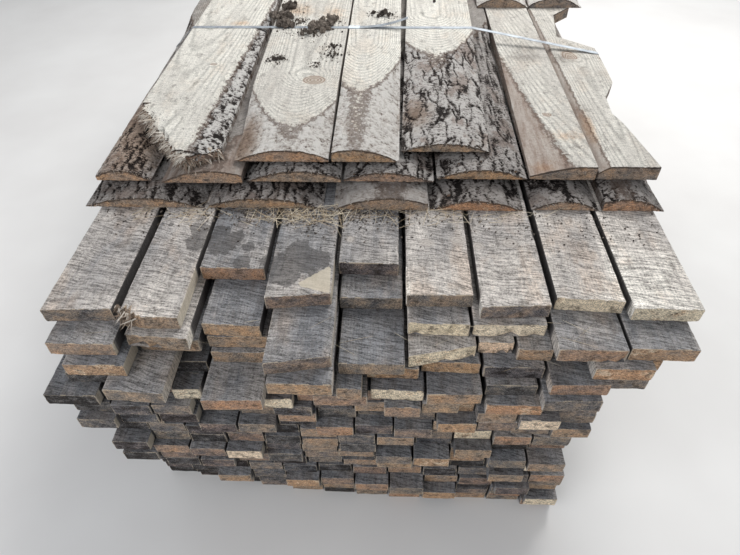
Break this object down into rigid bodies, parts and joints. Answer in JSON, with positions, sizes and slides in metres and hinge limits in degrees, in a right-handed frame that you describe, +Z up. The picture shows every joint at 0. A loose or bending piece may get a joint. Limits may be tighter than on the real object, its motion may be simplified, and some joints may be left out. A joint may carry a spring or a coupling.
{
  "type": "bundle of pine studs",
  "caption": "Strapped stack of rough-sawn pine studs and boards with staggered ends, topped by rows of bark-edged slabs.",
  "frame": {"origin": "centre of the bundle's box, on the floor it rests on", "axes": "+Y along the boards, away from the end that the picture shows; +X to the right as seen from that end; +Z up"},
  "size_m": [1.516, 2.755, 0.8702],
  "materials": {
    "stud_wood": "weathered grey pine, tan end grain",
    "board_wood": "weathered grey pine, rough sawn",
    "slab_wood": "pale sawn pine with bark edges",
    "strap_steel": "dull galvanised strap"
  },
  "bodies": {
    "root": {"board_layer_14": "board_wood", "board_layer_15": "board_wood", "board_layer_16": "board_wood", "board_layer_17": "board_wood", "board_layer_18": "board_wood", "board_layer_19": "board_wood", "slab_layer_20": "slab_wood", "slab_layer_21": "slab_wood", "slab_layer_22": "slab_wood", "steel_strap": "strap_steel", "strap_seal": "strap_steel", "stud_layer_01": "stud_wood", "stud_layer_02": "stud_wood", "stud_layer_03": "stud_wood", "stud_layer_04": "stud_wood", "stud_layer_05": "stud_wood", "stud_layer_06": "stud_wood", "stud_layer_07": "stud_wood", "stud_layer_08": "stud_wood", "stud_layer_09": "stud_wood", "stud_layer_10": "stud_wood", "stud_layer_11": "stud_wood", "stud_layer_12": "stud_wood", "stud_layer_13": "stud_wood"}
  },
  "joints": []
}
